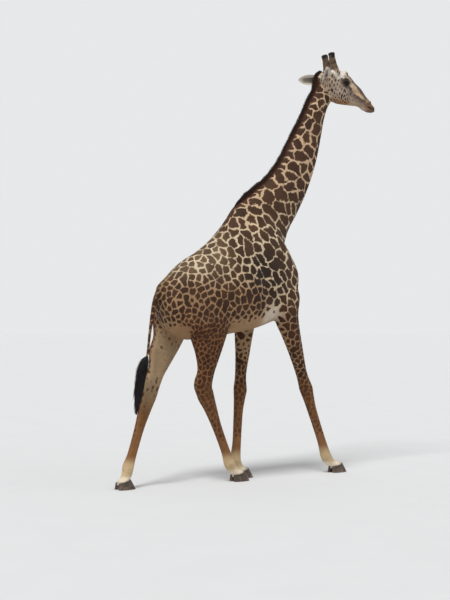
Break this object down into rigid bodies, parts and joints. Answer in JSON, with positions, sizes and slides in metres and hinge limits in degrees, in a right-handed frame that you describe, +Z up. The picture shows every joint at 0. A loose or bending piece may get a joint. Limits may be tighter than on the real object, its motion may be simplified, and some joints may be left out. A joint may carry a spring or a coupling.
{
  "type": "giraffe",
  "caption": "Life-size Masai giraffe bull caught in mid-stride, a still museum model with tall blunt horns, upright mane and a tasselled tail.",
  "frame": {"origin": "on the ground, under the middle of the whole animal's box", "axes": "+X the way the animal walks, +Y its left side, +Z up"},
  "size_m": [3.4376, 0.7546, 4.9604],
  "materials": {
    "coat": "short flat hair, dark brown lobed patches on a tan net",
    "ear_hair": "short white hair with a soft fringe",
    "mane_hair": "stiff upright dark red-brown hair",
    "tuft_hair": "long black hair",
    "horn": "horn cores in brown hair with black tips",
    "claw": "dark grey-brown horn with fine growth lines",
    "eye": "wet dark brown eye"
  },
  "bodies": {
    "root": {"trunk": "coat", "neck": "coat", "head": "coat", "ear_left": "ear_hair", "ear_right": "ear_hair", "tail": "coat", "leg_front_right": "coat", "leg_front_left": "coat", "leg_hind_right": "coat", "leg_hind_left": "coat", "claw_front_right_left": "claw", "claw_front_right_right": "claw", "claw_front_left_left": "claw", "claw_front_left_right": "claw", "claw_hind_right_left": "claw", "claw_hind_right_right": "claw", "claw_hind_left_left": "claw", "claw_hind_left_right": "claw", "eye_left": "eye", "ossicone_left": "horn", "eye_right": "eye", "ossicone_right": "horn", "mane": "mane_hair", "tail_tuft": "tuft_hair"}
  },
  "joints": []
}
